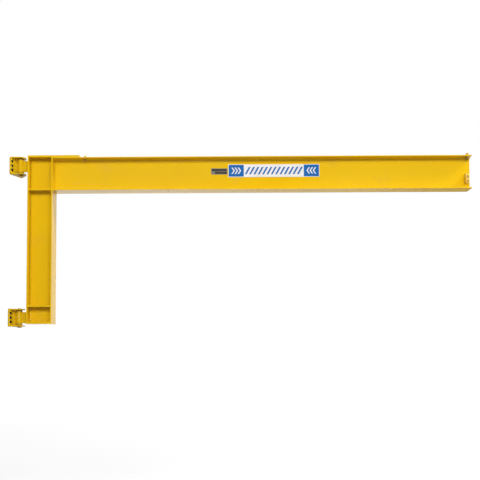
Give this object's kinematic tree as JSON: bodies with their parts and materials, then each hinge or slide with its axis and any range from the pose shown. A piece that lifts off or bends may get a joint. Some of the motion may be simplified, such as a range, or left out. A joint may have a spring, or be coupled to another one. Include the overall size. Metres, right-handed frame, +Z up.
{
  "type": "wall-mounted cantilever jib crane",
  "caption": "Cantilever jib crane: an I-beam boom welded to a short H-section mast that swings on two pinned wall brackets.",
  "frame": {"origin": "centre of the lower bracket's flat wall face", "axes": "+X along the boom from the mast to its tip, +Z up; at rest the brackets are turned 24 degrees about the hinge pins, so the wall faces point to -X and +Y"},
  "size_m": [3.5252, 0.1423, 1.3263],
  "materials": {
    "boom_paint": "glossy safety-yellow enamel",
    "mast_paint": "glossy safety-yellow enamel",
    "bracket_paint": "glossy safety-yellow enamel",
    "fitting_paint": "glossy safety-yellow enamel",
    "zinc": "zinc plated",
    "bronze": "machined bearing bronze"
  },
  "bodies": {
    "wall_brackets": {"lower_wall_plate": "bracket_paint", "lower_bottom_ear": "bracket_paint", "lower_top_ear": "bracket_paint", "lower_hinge_pin": "bracket_paint", "lower_pin_ring": "zinc", "upper_wall_plate": "bracket_paint", "upper_bottom_ear": "bracket_paint", "upper_top_ear": "bracket_paint", "upper_hinge_pin": "bracket_paint", "upper_pin_ring": "zinc"},
    "jib": {"lower_hinge_barrel": "mast_paint", "lower_hinge_bushings": "bronze", "lower_hinge_lug": "mast_paint", "upper_hinge_barrel": "mast_paint", "upper_hinge_bushings": "bronze", "upper_hinge_lug": "mast_paint", "mast_column": "mast_paint", "mast_base_plate": "mast_paint", "mast_cap_plate": "mast_paint", "lower_stiffener_front": "mast_paint", "lower_stiffener_back": "mast_paint", "upper_stiffener_front": "mast_paint", "upper_stiffener_back": "mast_paint", "boom_beam": "boom_paint", "trolley_stop_front": "fitting_paint", "trolley_stop_back": "fitting_paint", "inner_cable_lug": "fitting_paint", "outer_cable_lug": "fitting_paint"}
  },
  "joints": [
    {"name": "jib_swing", "type": "hinge", "parent": "wall_brackets", "child": "jib", "pos_m": [0.0475, -0.02115, 0], "axis": [0, 0, 1], "range_deg": [-104, 56]}
  ]
}
